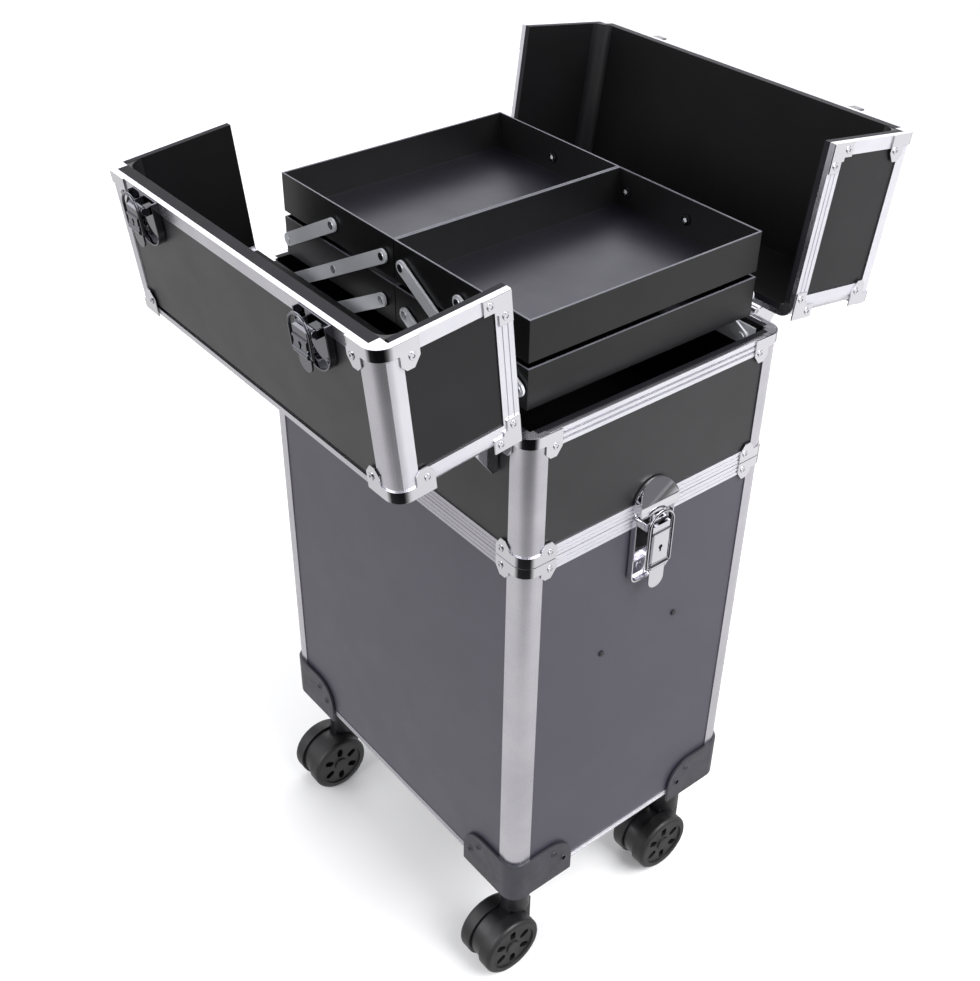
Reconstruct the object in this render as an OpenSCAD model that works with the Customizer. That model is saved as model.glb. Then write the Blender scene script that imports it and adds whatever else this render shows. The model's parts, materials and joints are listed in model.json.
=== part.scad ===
// Rolling makeup train case: a wheeled lower case, a lift-off upper case with two
// outward-opening lid halves, and two stacks of cantilever trays on parallel arms.
// Millimetres, +Z up. The origin is on the floor under the middle of the case.
// X runs along the wide faces, and the case stands as in use: lids open, trays stowed.

/* [Case] */
// Width of the case, along its wide faces
body_w = 340; // [330:1:380]
// Depth of the case, front to rear
body_d = 250; // [246:1:290]
// Height of the rim above the floor
rim_z = 592.5; // [560:0.5:680]
// Height of the upper case, from the split up to the rim
upper_h = 110.3; // [95:0.1:150]
// Height of the underside of the case above the floor
base_z = 122.5; // [120:0.5:130]
// Thickness of a wall with its profile
wall = 9; // [8:0.5:10]
// How far the panels sit behind the metal strips
panel_inset = 1; // [0.5:0.1:1.5]

/* [Metal frame] */
// Width of a corner post on each face
post_w = 18.4; // [16:0.2:22]
// Outer radius of a corner post
post_r = 12; // [8:0.5:14]
// Thickness of the strips and of the post flanges
strip_t = 4; // [3:0.5:5]
// Height of the strips on both sides of the split
split_strip = 10.8; // [9:0.1:14]
// Height of the strip round the rim
rim_strip = 13.8; // [11:0.1:16]
// Height of the strip round the underside
base_strip = 5.9; // [5:0.1:9]
// Thickness of the chromed sheet of the brackets
sheet = 1.2; // [0.8:0.1:1.6]
// How far the bracket ears reach from the corner
bracket_reach = 30; // [27:0.5:36]

/* [Lids] */
// Height of both lids
lid_h = 100; // [98:1:120]
// Thickness of a lid's top board
lid_board = 12.5; // [10:0.5:13]
// Depth of the front lid, from the wall face to the seam
front_lid_d = 114.7; // [105:0.1:125]
// Angle by which the front lid stands open
front_open = 96.1; // [90:0.1:100]
// Angle by which the rear lid stands open
rear_open = 98; // [90:0.1:100]
// Distance of the lid hinge pins from the wall face
hinge_out = 5; // [4.6:0.1:6]
// Distance of the lid hinges from the end faces
hinge_in = 45.5; // [45.5:0.5:60]

/* [Trays] */
// Space between a stowed tray and the end wall
tray_gap = 11.5; // [10:0.5:15]
// Space for the arms between the trays and the long walls
arm_space = 6.5; // [6.5:0.5:9]
// Depth of one tray
tray_h = 32; // [28:0.5:34]
// Height of the top edge of the stowed top trays above the rim
tray_top = 76.5; // [74:0.5:82]
// Angle of the stowed arms above the horizontal
arm_angle = 29; // [28:0.5:32]
// Height of an arm
arm_w = 11; // [9:0.5:12]

/* [Latches] */
// Width of a side latch lever
side_latch_w = 18; // [16:1:22]
// Width of a side latch plate
side_plate_w = 40; // [38:1:46]
// Length of a side latch from the split to the middle of its finger tab
side_latch_l = 61; // [56:1:66]
// Width of a lid latch lever
lid_latch_w = 16; // [14:1:18]
// Width of a lid latch plate
lid_plate_w = 36; // [34:1:40]
// Length of a lid latch from the seam to the middle of its finger tab
lid_latch_l = 30; // [28:1:36]
// Distance of the lid latches from the end faces
lid_latch_in = 62; // [56:1:72]

/* [Casters] */
// Diameter of a wheel
wheel_dia = 60.2; // [54:0.2:64]
// Width over the outer faces of a pair of wheels
wheels_w = 42.4; // [38:0.2:46]
// Distance of a caster stem from the two nearest wall faces
stem_in = 29.5; // [28:0.5:36]
// Distance of an axle behind its stem
trail = 18; // [14:0.5:20]

/* [Handles] */
// Distance of each pull handle tube from the middle
tube_y = 50; // [45:1:60]
// Length of the carry handle between its pivots
carry_l = 120; // [100:1:140]

/* [Hidden] */
split_z = rim_z - upper_h;
case_gap = 0.4;                      // between the two cases, and between lid and rim
seam_gap = 0.6;                      // between the closed lids
run_gap = 0.05;                      // radial play of a running pin
open_gap = 0.35;                     // radial play of an opened pivot, and of loose faces
band_h = 9;                          // band of a bracket round its post
ear_h = 16.3;                        // bracket ear beside the split
rim_ear_h = 20.5;                    // bracket ear at the rim
rivet_r = 2.7;
rivet_h = 0.9;
rivet_in = 24.3;                     // rivet from the corner
half_w = body_w / 2;
half_d = body_d / 2;
panel_t = wall - panel_inset;
rear_lid_d = body_d - front_lid_d;
lid_strip = 10;
floor_t = 6;
upper_floor_z = split_z + 4;
lid_edge = 7;                        // leg of the angle above the hinge wall
hinge_x = half_w - hinge_in;
lid_latch_x = half_w - lid_latch_in;
side_base_h = side_latch_l + 1;      // plates of the latches on the lower case
side_catch_h = 0.725 * side_plate_w;
lid_base_h = lid_latch_l + 8;        // plates of the latches on the front lid
lid_catch_h = 0.61 * lid_plate_w;

mount_h = 44.5;                      // caster mount on the faces
mount_drop = 9;                      // caster mount below the case
mount_reach = 65;
mount_t = 2.6;
mount_round = 25;
housing_r = 16;
housing_h = 26;
stem_x = half_w - stem_in;
stem_y = half_d - stem_in;
wheel_r = wheel_dia / 2;
wheel_t = 14;
core_t = wheels_w - 2 * wheel_t - 2 * 0.7;
axle_r = 4;
stem_r = 5;
collar_z = wheel_dia + 2;
guard_r = wheel_r - 2.6;
housing_z = base_z - mount_drop - housing_h;

tray_w = half_w - wall - tray_gap;
tray_d = body_d - 2 * wall - 2 * arm_space;
tray_t = 1.5;
pivot_r = 2;
pivot_edge = 6.5;                    // outermost pivots, from the edge of their tray
pivot_mid = 11.8;                    // innermost pivots, from the middle of the case
arm_half = (tray_w - pivot_edge - pivot_mid) / (2 * cos(arm_angle));
pivot_drop = 17.1;                   // pivots below the top edge of their tray
arm_t = 2;
arm_y = tray_d / 2 + 1;              // inner face of the arms
step_x = arm_half * cos(arm_angle);
step_z = arm_half * sin(arm_angle);
top_pivot_z = rim_z + tray_top - pivot_drop;
mid_pivot_z = top_pivot_z - step_z;
low_pivot_z = mid_pivot_z - step_z;
outer_x = pivot_edge - tray_w;       // outermost pivots of the left stack
pivot_gap = 0.42 * tray_w;           // between the two arms of the lower tier
mid_x = outer_x + step_x;
top_x = mid_x + step_x;
plate_t = 1.6;
inner_d = half_d - wall;

knuckle_r = 3.2;
hinge_pin_r = 1.5;
hinge_w = 30;
leaf_t = 1.5;
leaf_h = 40;                         // case side of a hinge
lid_leaf_h = 30;
stop_reach = 26;

pull_gap = 0.4;
tube_w = 16;
tube_t = 10;
tube_wall = 1.2;
tube_off = 1.5;                      // tubes off the end wall
tube_z = base_z + 60;
grip_z = rim_z - 34;
carry_r = 5;

eps = 0.01;
$fn = 48;

// ---- shared shapes ----

// Repeats a shape drawn at the +X +Y corner at all four corners
module each_corner()
    for (sx = [0, 1], sy = [0, 1])
        mirror([sx, 0, 0]) mirror([0, sy, 0]) children();

// Repeats a shape drawn on the +Y side on both long sides
module both_long() for (s = [0, 1]) mirror([0, s, 0]) children();

// Repeats a shape drawn on the +X side on both ends
module both_ends() for (s = [0, 1]) mirror([s, 0, 0]) children();

// Square of side c in the quadrant x < 0, y < 0, rounded at the origin corner
module rounded_corner(c, r) {
    translate([-c, -c]) square([c - r, c]);
    translate([-c, -c]) square([c, c - r]);
    intersection() {
        translate([-r, -r]) circle(r);
        translate([-r, -r]) square(r);
    }
}

// Section of a corner post: a solid rounded corner with a flange over each board
module post_section() {
    difference() {
        rounded_corner(post_w, post_r);
        translate([-post_w - 1, -post_w - 1]) square(post_w - wall + 1);
        for (flip = [0, 1]) mirror([flip, -flip]) translate([-post_w - 1, -wall - 1])
            square([post_w + 1 - post_r, wall + 1 - strip_t]);
    }
}

// Band of thickness t round the outside of a corner
module corner_band(reach, t) {
    difference() {
        translate([t, t]) rounded_corner(reach + t, post_r + t);
        rounded_corner(reach + t + 1, post_r);
    }
}

// Tubular rivet standing on the plane z = 0
module rivet() {
    difference() {
        cylinder(r = rivet_r, h = rivet_h);
        translate([0, 0, 0.3]) cylinder(r = 1.1, h = rivet_h);
    }
}

// Chromed bracket round a corner edge, downward from z = 0, with two riveted ears
module corner_bracket(ear, rivet_drop) {
    ear_in = post_w - 3;
    translate([0, 0, -band_h]) linear_extrude(band_h) corner_band(ear_in + 1, sheet);
    for (flip = [0, 1]) mirror([flip, -flip, 0]) {
        rotate([-90, 0, 0]) linear_extrude(sheet) polygon([
            [-ear_in, 0], [-bracket_reach, 0], [-bracket_reach, ear - 7],
            [-bracket_reach + 5, ear], [-ear_in - 4, ear], [-ear_in, ear - 4]]);
        translate([-rivet_in, sheet, -rivet_drop]) rotate([-90, 0, 0]) rivet();
    }
}

// Straight strip along X of length l and height h, outer face at y = 0, with fine grooves
module strip(l, h, grooves) {
    groove = 0.5;
    difference() {
        translate([-l / 2, -strip_t, 0]) cube([l, strip_t, h]);
        for (i = [1 : grooves])
            translate([-l / 2 - 1, -groove, i * h / (grooves + 1) - groove])
                cube([l + 2, 1, 2 * groove]);
    }
}

// Four strips between the posts, from z upward
module strip_ring(z, h, grooves) {
    both_long() translate([0, half_d, z]) strip(body_w - 2 * post_w, h, grooves);
    both_ends() translate([half_w, 0, z]) rotate([0, 0, -90])
        strip(body_d - 2 * post_w, h, grooves);
}

// Board of a wall standing on z = 0, outer face at y = 0: l long between the posts, rabbeted
// on all sides to take the metal; low and high are the strip heights, h the full height
module board(l, h, low, high) {
    tongue = post_w - post_r;
    translate([-l / 2 - tongue, -wall, 0]) cube([l + 2 * tongue, wall - strip_t, h]);
    translate([-l / 2, -wall, low]) cube([l, panel_t, h - low - high]);
}

module long_panels(z1, z2, low, high)
    both_long() translate([0, half_d, z1]) board(body_w - 2 * post_w, z2 - z1, low, high);

module end_panels(z1, z2, low, high)
    both_ends() translate([half_w, 0, z1]) rotate([0, 0, -90])
        board(body_d - 2 * post_w, z2 - z1, low, high);

module posts(z1, z2)
    each_corner() translate([half_w, half_d, z1]) linear_extrude(z2 - z1) post_section();

// ---- lower case ----

lower_top = split_z - case_gap / 2;

module lower_long_panels()
    color("#5a5866") long_panels(base_z, lower_top, base_strip, split_strip);

module lower_end_panels()
    color("#5a5866") end_panels(base_z, lower_top, base_strip, split_strip);

module base_panel()
    color("#242428") translate([-half_w + wall, -inner_d, base_z])
        cube([body_w - 2 * wall, 2 * inner_d, floor_t]);

module lower_corner_posts() color("#c8c6cc") posts(base_z, lower_top);

module base_frame() color("#c8c6cc") strip_ring(base_z, base_strip, 1);

module lower_split_frame()
    color("#c8c6cc") strip_ring(lower_top - split_strip, split_strip, 2);

module lower_corner_brackets()
    color("#e8e6ee") each_corner() translate([half_w, half_d, lower_top])
        corner_bracket(ear_h, 7.3);

// Outline of one arm of a caster mount: u along the face from the corner, v up
module mount_arm_outline() {
    full = mount_reach - mount_round;
    square([full, mount_h]);
    square([mount_reach, mount_h - mount_round]);
    translate([full, mount_h - mount_round]) circle(mount_round);
}

// Screw places on one mount arm
MOUNT_SCREWS = [[44, 33], [55, 21.5]];

module mount_arm() {
    intersection() {
        rotate([90, 0, 180]) linear_extrude(mount_t) mount_arm_outline();
        translate([-mount_reach, -1, 0]) cube([mount_reach - post_w, mount_t + 2, mount_h]);
    }
    for (p = MOUNT_SCREWS) translate([-p[0], mount_t, p[1]]) rotate([-90, 0, 0])
        difference() {
            cylinder(r1 = 3.2, r2 = 2.6, h = 1.1);
            for (a = [0, 90]) rotate([0, 0, a]) translate([-1.8, -0.4, 0.5]) cube([3.6, 0.8, 1]);
        }
}

module caster_mounts() {
    color("#2b2b30") each_corner()
        translate([half_w, half_d, base_z - mount_drop]) difference() {
            union() {
                linear_extrude(mount_h) corner_band(post_w + 1, mount_t);
                for (flip = [0, 1]) mirror([flip, -flip, 0]) mount_arm();
                linear_extrude(mount_drop) translate([mount_t, mount_t])
                    rounded_corner(mount_reach - 8, post_r + mount_t);
                translate([-stem_in, -stem_in, -housing_h])
                    cylinder(r1 = housing_r - 2.5, r2 = housing_r + 1, h = housing_h + 1);
                translate([-stem_in, -stem_in, -5])
                    cylinder(r1 = housing_r + 0.5, r2 = housing_r + 5, h = 6);
            }
            translate([-stem_in, -stem_in, -housing_h - 1])
                cylinder(r = stem_r + run_gap, h = housing_h + 4);
        }
}

// ---- upper case ----

upper_bottom = split_z + case_gap / 2;

module upper_long_panels()
    color("#38383c") long_panels(upper_bottom, rim_z, split_strip, rim_strip);

module upper_end_panels()
    color("#38383c") end_panels(upper_bottom, rim_z, split_strip, rim_strip);

module upper_floor()
    color("#1c1c1f") translate([-half_w + wall, -inner_d, upper_floor_z])
        cube([body_w - 2 * wall, 2 * inner_d, floor_t]);

module upper_corner_posts() color("#c8c6cc") posts(upper_bottom, rim_z);

module upper_split_frame() color("#c8c6cc") strip_ring(upper_bottom, split_strip, 2);

module rim_frame() color("#d4d3da") strip_ring(rim_z - rim_strip, rim_strip, 2);

module upper_corner_brackets()
    color("#e8e6ee") each_corner() {
        translate([half_w, half_d, rim_z]) corner_bracket(rim_ear_h, 12);
        translate([half_w, half_d, upper_bottom]) mirror([0, 0, 1]) corner_bracket(ear_h, 7.3);
    }

// ---- draw latches: local +Z toward the catch, +Y out of the face, parting line at z = 0 ----

latch_pivot_y = 7.5;
latch_pin_r = 1.5;
bail_r = 1.1;
bail_y = latch_pivot_y + 4.7;
bail_top = 5;                        // top of the bail above the parting line
cheek_t = 1.5;
hook_gap = 1;                        // bail in front of its hook
plate_rim = 5;                       // height of the pressed rim of a plate
function lever_pivot_z(l) = -6.5 - 0.05 * l;
function bail_pivot_z(l) = -0.75 * l;
function bail_side(w) = w / 2 + 2.1 + bail_r;

// Plate pw wide that hangs h down from z = 0, with lower corners of radius r
module plate_outline(pw, h, r) {
    translate([-pw / 2, -h + r]) square([pw, h - r]);
    translate([-pw / 2 + r, -h]) square([pw - 2 * r, h]);
    for (s = [-1, 1]) translate([s * (pw / 2 - r), -h + r]) circle(r);
}

module latch_base(w, pw, l, h, r) {
    pz = lever_pivot_z(l);
    translate([0, 0, -1]) rotate([90, 0, 0]) mirror([0, 0, 1]) {
        linear_extrude(sheet) plate_outline(pw, h - 1, r);
        linear_extrude(plate_rim) difference() {
            plate_outline(pw, h - 1, r);
            translate([0, 0.1]) plate_outline(pw - 2 * sheet, h - 1 - sheet + 0.1, r - sheet);
        }
    }
    for (s = [-1, 1]) translate([s * (w / 2 + open_gap + cheek_t / 2) - cheek_t / 2, 0, 0]) {
        translate([0, sheet - 0.1, -abs(pz) - 4]) cube([cheek_t, latch_pivot_y - sheet + 0.1, 6]);
        translate([0, latch_pivot_y, pz]) rotate([0, 90, 0]) cylinder(r = 2.6, h = cheek_t);
        translate([0, sheet, -h * 0.8]) rotate([-90, 0, 0]) rivet();
    }
    translate([-w / 2 - open_gap - cheek_t, latch_pivot_y, pz]) rotate([0, 90, 0])
        cylinder(r = latch_pin_r, h = w + 2 * (open_gap + cheek_t));
}

// Lever: a pressed plate with two cross ridges and a rounded finger tab
module latch_lever(w, l) {
    pz = lever_pivot_z(l);
    bz = bail_pivot_z(l);
    tab_r = w * 0.44;
    plate_y = latch_pivot_y + 3.1;
    plate_t = 1.8;
    face_y = plate_y + plate_t;
    difference() {
        union() {
            translate([-w / 2, plate_y, bz - 4]) cube([w, plate_t, pz - bz + 4]);
            translate([-w / 2, latch_pivot_y, pz]) rotate([0, 90, 0]) cylinder(r = 2.8, h = w);
            translate([-w / 2, latch_pivot_y, pz - 2.8])
                cube([w, face_y - latch_pivot_y, 4.8]);
            translate([-w / 2, bail_y, bz]) rotate([0, 90, 0]) cylinder(r = 2.4, h = w);
            translate([-tab_r, plate_y, -l]) cube([2 * tab_r, plate_t * 0.8, l + bz]);
            translate([0, plate_y, -l]) rotate([-90, 0, 0])
                cylinder(r = tab_r, h = plate_t * 0.8);
            // raised lock plate between two ridges
            translate([-w / 2 + 1, plate_y, bz + 3]) cube([w - 2, plate_t + 1, pz - bz - 7]);
            for (z = [bz + 3, pz - 5]) translate([-w / 2, face_y, z])
                rotate([0, 90, 0]) cylinder(r = 1.3, h = w);
        }
        translate([-w / 2 - 1, latch_pivot_y, pz]) rotate([0, 90, 0])
            cylinder(r = latch_pin_r + run_gap, h = w + 2);
        for (s = [-1, 1]) translate([s * (w / 2 - 3.5), bail_y, bz])
            rotate([0, s * 90, 0]) cylinder(r = bail_r + run_gap, h = 5);
        // keyhole
        translate([0, plate_y + 1.2, (pz + bz) / 2 - 1]) rotate([-90, 0, 0]) {
            cylinder(r = w * 0.11, h = 4);
            translate([-w * 0.045, 0, 0]) cube([w * 0.09, w * 0.24, 4]);
        }
    }
}

// Wire loop with a round top, turned inward at its lower ends
module latch_bail(w, l) {
    bz = bail_pivot_z(l);
    side = bail_side(w);
    arc_z = bail_top - bail_r - side;
    for (s = [-1, 1]) {
        translate([s * side, bail_y, bz]) cylinder(r = bail_r, h = arc_z - bz);
        translate([s * side, bail_y, bz]) sphere(r = bail_r);
        translate([s * (w / 2 - 3), bail_y, bz]) rotate([0, s * 90, 0])
            cylinder(r = bail_r, h = side - w / 2 + 3);
    }
    translate([0, bail_y, arc_z]) rotate([90, 0, 0])
        rotate_extrude(angle = 180) translate([side, 0]) circle(bail_r);
}

// Domed catch plate with a sloping hood and the hook that the bail loops over
module latch_catch(pw, top) {
    hood_y = 9;
    lip_z = top * 0.42;
    intersection() {
        translate([-pw / 2, 0, 0]) rotate([90, 0, 90]) linear_extrude(pw) polygon([
            [0, 0.4], [0, top], [1.4, top], [hood_y, lip_z], [hood_y, 3.2],
            [hood_y - 1.4, 3.2], [hood_y - 1.4, lip_z - 0.4], [2.6, top - 3.6], [1.4, 0.4]]);
        translate([0, -1, 0]) rotate([90, 0, 0]) mirror([0, 0, 1]) linear_extrude(20)
            intersection() {
                translate([0, top - pw / 2]) circle(pw / 2);
                translate([-pw / 2, 0]) square([pw, top]);
            }
    }
    for (s = [-1, 1]) intersection() {
        translate([s * (pw / 2 - 2.5) - 0.7, 0, 0.4]) cube([1.4, hood_y, lip_z]);
        translate([-pw, 0, 3.2]) cube([2 * pw, hood_y, top]);
    }
    // hook
    tip = bail_y - bail_r - hook_gap;
    translate([-5, 0, 0.4]) cube([10, tip, 1.6]);
}

module side_latch_pose(s) translate([s * half_w, 0, split_z]) rotate([0, 0, -s * 90]) children();

module side_latch_bases() {
    color("#dcdae2") for (s = [-1, 1]) side_latch_pose(s)
        latch_base(side_latch_w, side_plate_w, side_latch_l, side_base_h, 7);
}

module side_latch_catches() {
    color("#dcdae2") for (s = [-1, 1]) side_latch_pose(s) latch_catch(side_plate_w, side_catch_h);
}

module left_side_latch_lever()
    color("#e8e6ee") side_latch_pose(-1) latch_lever(side_latch_w, side_latch_l);

module right_side_latch_lever()
    color("#e8e6ee") side_latch_pose(1) latch_lever(side_latch_w, side_latch_l);

module left_side_latch_bail()
    color("#e8e6ee") side_latch_pose(-1) latch_bail(side_latch_w, side_latch_l);

module right_side_latch_bail()
    color("#e8e6ee") side_latch_pose(1) latch_bail(side_latch_w, side_latch_l);

// ---- lids: local origin on the hinge line, +Y toward the seam, +Z up when closed ----

module front_pose() translate([0, -half_d - hinge_out, rim_z]) rotate([front_open, 0, 0]) children();

module rear_pose()
    mirror([0, 1, 0]) translate([0, -half_d - hinge_out, rim_z]) rotate([rear_open, 0, 0])
        children();

function seam_y(d) = hinge_out + d - seam_gap / 2;

// Top, hinge wall and end boards of a lid
module lid_panels(d) {
    y0 = hinge_out;
    y1 = seam_y(d);
    inner_w = body_w - 2 * post_w;
    tongue = post_w - post_r;
    // top board: full thickness between the metal edges, thinner below them
    translate([-inner_w / 2 - tongue, y0 + wall, lid_h - lid_board])
        cube([inner_w + 2 * tongue, y1 - y0 - wall, lid_board - strip_t]);
    translate([-inner_w / 2, y0 + wall, lid_h - lid_board])
        cube([inner_w, y1 - y0 - wall - lid_strip, lid_board - panel_inset]);
    // hinge wall
    translate([-inner_w / 2 - tongue, y0 + strip_t, case_gap])
        cube([inner_w + 2 * tongue, wall - strip_t, lid_h - strip_t - case_gap]);
    translate([-inner_w / 2, y0 + panel_inset, rim_strip])
        cube([inner_w, wall - panel_inset, lid_h - rim_strip - lid_edge]);
    both_ends() {
        translate([half_w - wall, y0 + post_r, case_gap])
            cube([wall - strip_t, y1 - y0 - post_r, lid_h - post_r - case_gap - 1.6]);
        translate([half_w - wall, y0 + post_w, rim_strip])
            cube([panel_t, y1 - y0 - lid_strip - post_w, lid_h - post_w - rim_strip]);
    }
}

// Strips and posts of a lid
module lid_frame(d) {
    y0 = hinge_out;
    y1 = seam_y(d);
    low = case_gap;
    side_h = lid_h - post_w - rim_strip;
    both_ends() {
        // rounded post along the top edge, from the hinge wall to the seam
        translate([half_w, y0 + strip_t, lid_h]) rotate([-90, 0, 0]) mirror([0, 1, 0])
            linear_extrude(y1 - y0 - strip_t) lid_post_section();
        // rounded upright at the hinge wall
        intersection() {
            translate([half_w, y0, low]) rotate([0, 0, -90]) linear_extrude(lid_h - low)
                post_section();
            translate([half_w, y0, lid_h]) rotate([-90, 0, 0]) mirror([0, 1, 0])
                linear_extrude(post_w) rounded_corner(lid_h, post_r);
        }
        // rim strip and seam strip of the end wall
        translate([half_w, (y0 + post_w + y1) / 2, low]) rotate([0, 0, -90])
            strip(y1 - y0 - post_w, rim_strip - low, 2);
        translate([half_w - strip_t, y1 - lid_strip, rim_strip])
            cube([strip_t, lid_strip, side_h]);
    }
    // rim strip of the hinge wall
    translate([0, y0, low]) mirror([0, 1, 0]) strip(body_w - 2 * post_w, rim_strip - low, 2);
    // angle along the top edge at the hinge wall
    translate([-half_w + post_w, y0 + lid_edge, lid_h - lid_edge]) rotate([90, 0, 90])
        linear_extrude(body_w - 2 * post_w) difference() {
            mirror([1, 0]) rounded_edge(lid_edge, lid_edge, 3);
            translate([-lid_edge + strip_t, -1]) square([lid_edge, lid_edge + 1 - panel_inset]);
        }
    // strip along the seam
    translate([-half_w + post_w, y1 - lid_strip, lid_h - strip_t])
        cube([body_w - 2 * post_w, lid_strip, strip_t]);
}

// Section of the rounded post of a lid, without the flange inside
module lid_post_section() {
    difference() {
        rounded_corner(post_w, post_r);
        translate([-post_w - 1, -post_w - 1]) square([post_w + 1 - post_r, post_w + 1 - strip_t]);
        translate([-post_w - 1, -post_w - 1]) square([post_w + 1 - strip_t, post_w + 1 - post_r]);
    }
}

// Rectangle a by b in the first quadrant whose corner at (a, b) is rounded
module rounded_edge(a, b, r) {
    square([a - r, b]);
    square([a, b - r]);
    intersection() {
        translate([a - r, b - r]) circle(r);
        translate([a - r, b - r]) square(r);
    }
}

module l_plate() {
    arm = 22;
    w = 11;
    linear_extrude(sheet) difference() {
        square(arm);
        translate([w + 3, w + 3]) square(arm);
        translate([w, w + 3]) square(arm);
        translate([w + 3, w]) square(arm);
    }
    for (p = [[5.5, 16.5], [16.5, 5.5]]) translate([p[0], p[1], sheet]) rivet();
}

module lid_brackets(d) {
    y0 = hinge_out;
    y1 = seam_y(d);
    both_ends() {
        // round the post at the seam and at the hinge wall
        translate([half_w, y1, lid_h]) rotate([-90, 0, 0]) mirror([0, 1, 0])
            corner_bracket(rim_ear_h, 12);
        translate([half_w, y0, lid_h]) rotate([90, 0, 0]) corner_bracket(rim_ear_h, 12);
        translate([half_w, y0, lid_h]) rotate([90, 0, 0]) linear_extrude(sheet)
            rounded_corner(post_w, post_r);
        // flat angle plates at the rim corners of the end wall
        translate([half_w, y1, low_plate]) rotate([90, 0, 90]) mirror([1, 0, 0]) l_plate();
        translate([half_w, y0, low_plate]) rotate([90, 0, 90]) l_plate();
    }
}
low_plate = 0.8;

module front_lid_panels() color("#38383c") front_pose() lid_panels(front_lid_d);
module rear_lid_panels() color("#38383c") rear_pose() lid_panels(rear_lid_d);
module front_lid_frame() color("#c8c6cc") front_pose() lid_frame(front_lid_d);
module rear_lid_frame() color("#c8c6cc") rear_pose() lid_frame(rear_lid_d);
module front_lid_brackets() color("#e8e6ee") front_pose() lid_brackets(front_lid_d);
module rear_lid_brackets() color("#e8e6ee") rear_pose() lid_brackets(rear_lid_d);

// ---- lid hinges: local origin on the pin, wall face at y = hinge_out ----

module each_hinge() for (s = [-1, 1]) translate([s * hinge_x, 0, 0]) children();

// Point at distance t along the leaf of a lid opened by angle a, just below that leaf
function stop_point(a, t) = let (g = hinge_out - leaf_t - open_gap)
    [g * cos(a) - t * sin(a), g * sin(a) + t * cos(a)];

// Case side of one hinge: leaf, two knuckles and the two stop cheeks
module case_leaf(a) {
    k_len = 10;
    difference() {
        union() {
            translate([-hinge_w / 2, hinge_out - leaf_t, -leaf_h])
                cube([hinge_w, leaf_t, leaf_h - knuckle_r - 0.5]);
            for (s = [-1, 1]) translate([s * (hinge_w / 2 - k_len / 2) - k_len / 2, 0, 0]) {
                rotate([0, 90, 0]) cylinder(r = knuckle_r, h = k_len);
                translate([0, 0, -knuckle_r]) cube([k_len, hinge_out, knuckle_r - 0.2]);
                translate([0, hinge_out - leaf_t, -6]) cube([k_len, leaf_t, 5.8]);
            }
            for (s = [-1, 1]) translate([s * (hinge_w / 2 - 0.9) - 0.9, 0, 0]) rotate([90, 0, 90])
                linear_extrude(1.8) polygon([
                    [hinge_out - 0.5, -leaf_h], [hinge_out - 0.5, -2], [0, 0],
                    stop_point(a, 6), stop_point(a, stop_reach),
                    stop_point(a, stop_reach) - [0, 4], [hinge_out - 5, -leaf_h]]);
        }
        translate([-hinge_w, 0, 0]) rotate([0, 90, 0])
            cylinder(r = hinge_pin_r + 0.02, h = 2 * hinge_w);
    }
    for (s = [-1, 1]) translate([s * 7, hinge_out - leaf_t, 10 - leaf_h])
        rotate([90, 0, 0]) rivet();
}

module lid_hinge_brackets() color("#e8e6ee") {
    translate([0, -half_d - hinge_out, rim_z]) each_hinge() case_leaf(front_open);
    mirror([0, 1, 0]) translate([0, -half_d - hinge_out, rim_z]) each_hinge()
        case_leaf(rear_open);
}

module lid_hinge_pins()
    color("#b8b8be") both_long() translate([0, half_d + hinge_out, rim_z]) each_hinge()
        translate([-hinge_w / 2, 0, 0]) rotate([0, 90, 0]) cylinder(r = hinge_pin_r, h = hinge_w);

// Lid side of one hinge, in the lid's own frame
module lid_leaf() {
    k_len = hinge_w - 20 - 2 * 0.3;
    difference() {
        union() {
            translate([-hinge_w / 2, hinge_out - leaf_t, knuckle_r + 0.6])
                cube([hinge_w, leaf_t, lid_leaf_h]);
            translate([-k_len / 2, 0, 0]) rotate([0, 90, 0]) cylinder(r = knuckle_r, h = k_len);
            translate([-k_len / 2, 0, 0.6]) cube([k_len, hinge_out - 0.3, knuckle_r - 0.6]);
            translate([-k_len / 2, hinge_out - leaf_t, 0.6]) cube([k_len, leaf_t, 6]);
        }
        translate([-hinge_w, 0, 0]) rotate([0, 90, 0])
            cylinder(r = hinge_pin_r + run_gap, h = 2 * hinge_w);
    }
}

module front_lid_leaves() color("#e8e6ee") front_pose() each_hinge() lid_leaf();
module rear_lid_leaves() color("#e8e6ee") rear_pose() each_hinge() lid_leaf();

// ---- lid latches, on the front lid's top at the seam ----

module lid_latch_pose(s)
    front_pose() translate([s * lid_latch_x, hinge_out + front_lid_d, lid_h])
        rotate([-90, 180, 0]) children();

module lid_latch_bases()
    color("#dcdae2") for (s = [-1, 1]) lid_latch_pose(s)
        latch_base(lid_latch_w, lid_plate_w, lid_latch_l, lid_base_h, lid_plate_w / 2 - 1);

module left_lid_latch_lever()
    color("#e8e6ee") lid_latch_pose(-1) latch_lever(lid_latch_w, lid_latch_l);
module right_lid_latch_lever()
    color("#e8e6ee") lid_latch_pose(1) latch_lever(lid_latch_w, lid_latch_l);
module left_lid_latch_bail()
    color("#e8e6ee") lid_latch_pose(-1) latch_bail(lid_latch_w, lid_latch_l);
module right_lid_latch_bail()
    color("#e8e6ee") lid_latch_pose(1) latch_bail(lid_latch_w, lid_latch_l);

module lid_latch_catches()
    color("#dcdae2") rear_pose() for (s = [-1, 1])
        translate([s * lid_latch_x, hinge_out + rear_lid_d, lid_h])
            rotate([-90, 180, 0]) mirror([0, 0, 1]) latch_catch(lid_plate_w, lid_catch_h);

// ---- carry handle, folded toward the hinges on the rear lid's top ----

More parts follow.
